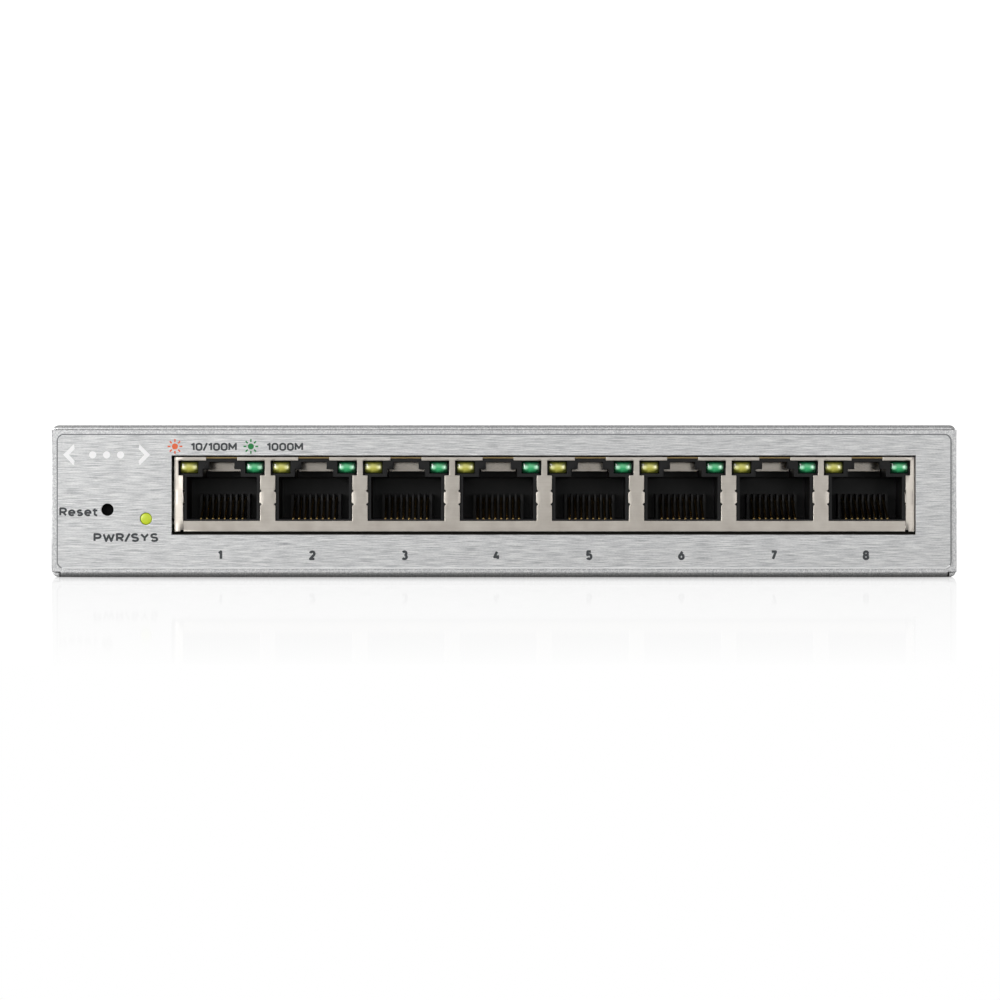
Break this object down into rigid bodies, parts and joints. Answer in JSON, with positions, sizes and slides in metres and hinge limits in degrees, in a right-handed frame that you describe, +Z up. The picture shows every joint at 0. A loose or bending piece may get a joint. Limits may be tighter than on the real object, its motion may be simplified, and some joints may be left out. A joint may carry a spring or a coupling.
{
  "type": "desktop network switch",
  "caption": "Desktop Ethernet switch: flat folded-metal case with a row of shielded modular jacks, port lamps, a status lamp and a recessed reset button.",
  "frame": {"origin": "centre of the footprint, on the surface that the case stands on", "axes": "+X along the port row, to the right seen from the ports; -Y out of the port wall; +Z up"},
  "size_m": [0.155, 0.1, 0.026],
  "materials": {
    "case_paint": "fine-grained silver powder coat, satin",
    "label_brushed": "horizontally brushed silver overlay, satin",
    "shield_plating": "warm bright tin plate",
    "jack_black": "satin black moulding",
    "contact_gold": "gold plated, bright",
    "lamp_yellow_green": "clear tinted lens",
    "lamp_green": "clear tinted lens",
    "status_lime": "diffused lens",
    "board_green": "solder mask, satin",
    "epoxy_black": "moulded epoxy, matt",
    "screw_steel": "zinc plated, bright",
    "sink_black": "black anodised, satin",
    "can_sleeve": "shrunk sleeve, glossy"
  },
  "bodies": {
    "chassis": {"bottom_chassis": "case_paint", "top_cover": "case_paint", "front_label": "label_brushed", "cover_screw_1": "screw_steel", "cover_screw_2": "screw_steel", "cover_screw_3": "screw_steel", "cover_screw_4": "screw_steel", "main_board": "board_green", "board_screw_1": "screw_steel", "board_screw_2": "screw_steel", "board_screw_3": "screw_steel", "board_screw_4": "screw_steel", "jack_front_shield": "shield_plating", "jack_rear_shield": "shield_plating", "port_1_housing": "jack_black", "port_1_left_lamp": "lamp_yellow_green", "port_1_right_lamp": "lamp_green", "port_2_housing": "jack_black", "port_2_left_lamp": "lamp_yellow_green", "port_2_right_lamp": "lamp_green", "port_3_housing": "jack_black", "port_3_left_lamp": "lamp_yellow_green", "port_3_right_lamp": "lamp_green", "port_4_housing": "jack_black", "port_4_left_lamp": "lamp_yellow_green", "port_4_right_lamp": "lamp_green", "port_5_housing": "jack_black", "port_5_left_lamp": "lamp_yellow_green", "port_5_right_lamp": "lamp_green", "port_6_housing": "jack_black", "port_6_left_lamp": "lamp_yellow_green", "port_6_right_lamp": "lamp_green", "port_7_housing": "jack_black", "port_7_left_lamp": "lamp_yellow_green", "port_7_right_lamp": "lamp_green", "port_8_housing": "jack_black", "port_8_left_lamp": "lamp_yellow_green", "port_8_right_lamp": "lamp_green", "status_lamp": "status_lime", "status_lamp_holder": "jack_black", "reset_switch": "jack_black", "power_inlet": "jack_black", "power_inlet_pin": "screw_steel", "transformer_1": "epoxy_black", "transformer_2": "epoxy_black", "transformer_3": "epoxy_black", "transformer_4": "epoxy_black", "switch_chip": "epoxy_black", "heat_sink": "sink_black", "capacitor": "can_sleeve"},
    "port_1_contacts": {"port_1_contacts": "contact_gold"},
    "port_2_contacts": {"port_2_contacts": "contact_gold"},
    "port_3_contacts": {"port_3_contacts": "contact_gold"},
    "port_4_contacts": {"port_4_contacts": "contact_gold"},
    "port_5_contacts": {"port_5_contacts": "contact_gold"},
    "port_6_contacts": {"port_6_contacts": "contact_gold"},
    "port_7_contacts": {"port_7_contacts": "contact_gold"},
    "port_8_contacts": {"port_8_contacts": "contact_gold"},
    "reset_button": {"reset_button": "jack_black"},
    "power_inlet_leaf": {"power_inlet_leaf": "screw_steel"}
  },
  "joints": [
    {"name": "reset_press", "type": "slide", "parent": "chassis", "child": "reset_button", "axis": [0, 1, 0], "range_m": [0, 0.0003], "stiffness_N_per_m": 1000, "springref_m": -0.0003},
    {"name": "port_1_contacts_flex", "type": "hinge", "parent": "chassis", "child": "port_1_contacts", "pos_m": [-0.0484, -0.04825, 0.0092], "axis": [1, 0, 0], "range_deg": [-12, 0], "stiffness_Nm_per_rad": 0.05, "springref_deg": 5.73},
    {"name": "port_2_contacts_flex", "type": "hinge", "parent": "chassis", "child": "port_2_contacts", "pos_m": [-0.0326, -0.04825, 0.0092], "axis": [1, 0, 0], "range_deg": [-12, 0], "stiffness_Nm_per_rad": 0.05, "springref_deg": 5.73},
    {"name": "port_3_contacts_flex", "type": "hinge", "parent": "chassis", "child": "port_3_contacts", "pos_m": [-0.0168, -0.04825, 0.0092], "axis": [1, 0, 0], "range_deg": [-12, 0], "stiffness_Nm_per_rad": 0.05, "springref_deg": 5.73},
    {"name": "port_4_contacts_flex", "type": "hinge", "parent": "chassis", "child": "port_4_contacts", "pos_m": [-0.001, -0.04825, 0.0092], "axis": [1, 0, 0], "range_deg": [-12, 0], "stiffness_Nm_per_rad": 0.05, "springref_deg": 5.73},
    {"name": "port_5_contacts_flex", "type": "hinge", "parent": "chassis", "child": "port_5_contacts", "pos_m": [0.0148, -0.04825, 0.0092], "axis": [1, 0, 0], "range_deg": [-12, 0], "stiffness_Nm_per_rad": 0.05, "springref_deg": 5.73},
    {"name": "port_6_contacts_flex", "type": "hinge", "parent": "chassis", "child": "port_6_contacts", "pos_m": [0.0306, -0.04825, 0.0092], "axis": [1, 0, 0], "range_deg": [-12, 0], "stiffness_Nm_per_rad": 0.05, "springref_deg": 5.73},
    {"name": "port_7_contacts_flex", "type": "hinge", "parent": "chassis", "child": "port_7_contacts", "pos_m": [0.0464, -0.04825, 0.0092], "axis": [1, 0, 0], "range_deg": [-12, 0], "stiffness_Nm_per_rad": 0.05, "springref_deg": 5.73},
    {"name": "port_8_contacts_flex", "type": "hinge", "parent": "chassis", "child": "port_8_contacts", "pos_m": [0.0622, -0.04825, 0.0092], "axis": [1, 0, 0], "range_deg": [-12, 0], "stiffness_Nm_per_rad": 0.05, "springref_deg": 5.73},
    {"name": "power_inlet_leaf_flex", "type": "hinge", "parent": "chassis", "child": "power_inlet_leaf", "pos_m": [0.052, 0.04, 0.0105], "axis": [1, 0, 0], "range_deg": [-6, 0], "stiffness_Nm_per_rad": 0.05, "springref_deg": 5.73}
  ]
}
